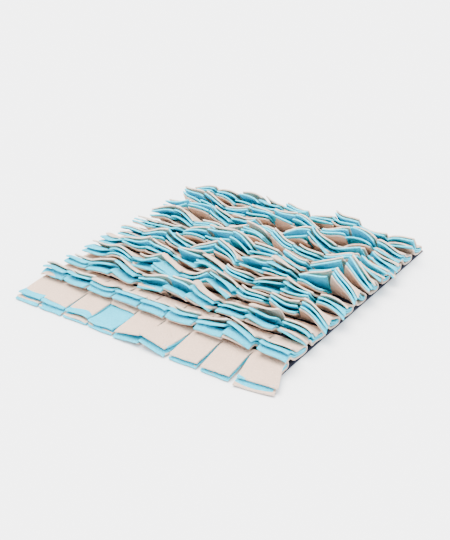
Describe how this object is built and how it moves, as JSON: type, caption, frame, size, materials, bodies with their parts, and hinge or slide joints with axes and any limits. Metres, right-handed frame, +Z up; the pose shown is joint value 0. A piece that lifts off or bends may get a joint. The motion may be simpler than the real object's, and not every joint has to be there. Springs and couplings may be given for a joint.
{
  "type": "snuffle mat",
  "caption": "Pet snuffle mat: rows of beige and light blue fleece flaps sewn side by side on a thin dark backing, leaning forward like shingles.",
  "frame": {"origin": "on the floor under the middle of the whole mat, flaps included", "axes": "+Z up from the floor, +X along the rows to the right seen from the front, -Y towards the front edge, where the flaps lean"},
  "size_m": [0.4442, 0.5014, 0.0595],
  "materials": {
    "beige_fleece": "matte brushed fleece",
    "blue_fleece": "matte brushed fleece",
    "dark_backing": "matte woven cloth"
  },
  "bodies": {
    "root": {"backing": "dark_backing", "beige_strip_01": "beige_fleece", "beige_strip_02": "beige_fleece", "beige_strip_03": "beige_fleece", "beige_strip_04": "beige_fleece", "beige_strip_05": "beige_fleece", "beige_strip_06": "beige_fleece", "beige_strip_07": "beige_fleece", "beige_strip_08": "beige_fleece", "beige_strip_09": "beige_fleece", "beige_strip_10": "beige_fleece", "beige_strip_11": "beige_fleece", "blue_strip_01": "blue_fleece", "blue_strip_02": "blue_fleece", "blue_strip_03": "blue_fleece", "blue_strip_04": "blue_fleece", "blue_strip_05": "blue_fleece", "blue_strip_06": "blue_fleece", "blue_strip_07": "blue_fleece", "blue_strip_08": "blue_fleece", "blue_strip_09": "blue_fleece", "blue_strip_10": "blue_fleece", "blue_strip_11": "blue_fleece"}
  },
  "joints": []
}
